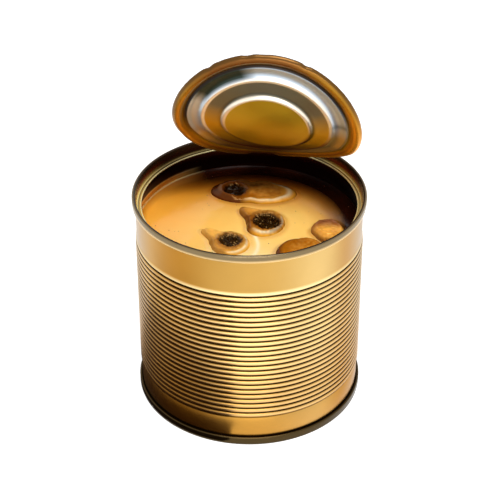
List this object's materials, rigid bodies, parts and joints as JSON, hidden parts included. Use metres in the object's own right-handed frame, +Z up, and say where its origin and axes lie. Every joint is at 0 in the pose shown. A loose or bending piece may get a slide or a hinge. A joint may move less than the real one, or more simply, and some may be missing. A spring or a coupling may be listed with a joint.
{
  "type": "open soup can",
  "caption": "Open steel food can with a beaded golden wall, holding creamy soup with mushroom slices; its cut lid is bent up at the back on an uncut strip.",
  "frame": {"origin": "middle of the can's foot, on the surface it stands on", "axes": "+Z up the can's axis, +Y towards the hinge of the lid, +X to the right of someone facing the open mouth"},
  "size_m": [0.0873, 0.0872, 0.1409],
  "materials": {
    "wall_lacquer": "gold lacquered tinplate, satin gloss",
    "seam_tinplate": "pale gold double seam, gloss",
    "foot_tinplate": "dark gold double seam and end",
    "lid_lacquer": "gold lacquered tinplate, bright on its panel slope",
    "soup": "smooth creamy soup, wet gloss",
    "mushroom": "cooked mushroom, wet"
  },
  "bodies": {
    "can": {"can_body": "wall_lacquer", "top_ring": "seam_tinplate", "bottom_end": "foot_tinplate", "soup": "soup", "mushroom_back": "mushroom", "mushroom_centre": "mushroom", "mushroom_front": "mushroom", "mushroom_right": "mushroom", "mushroom_front_right": "mushroom"},
    "lid": {"lid": "lid_lacquer"}
  },
  "joints": [
    {"name": "lid_hinge", "type": "hinge", "parent": "can", "child": "lid", "pos_m": [0.00769, 0.03683, 0.08117], "axis": [-0.9986, 0.0523, 0], "range_deg": [-25, 25]}
  ]
}
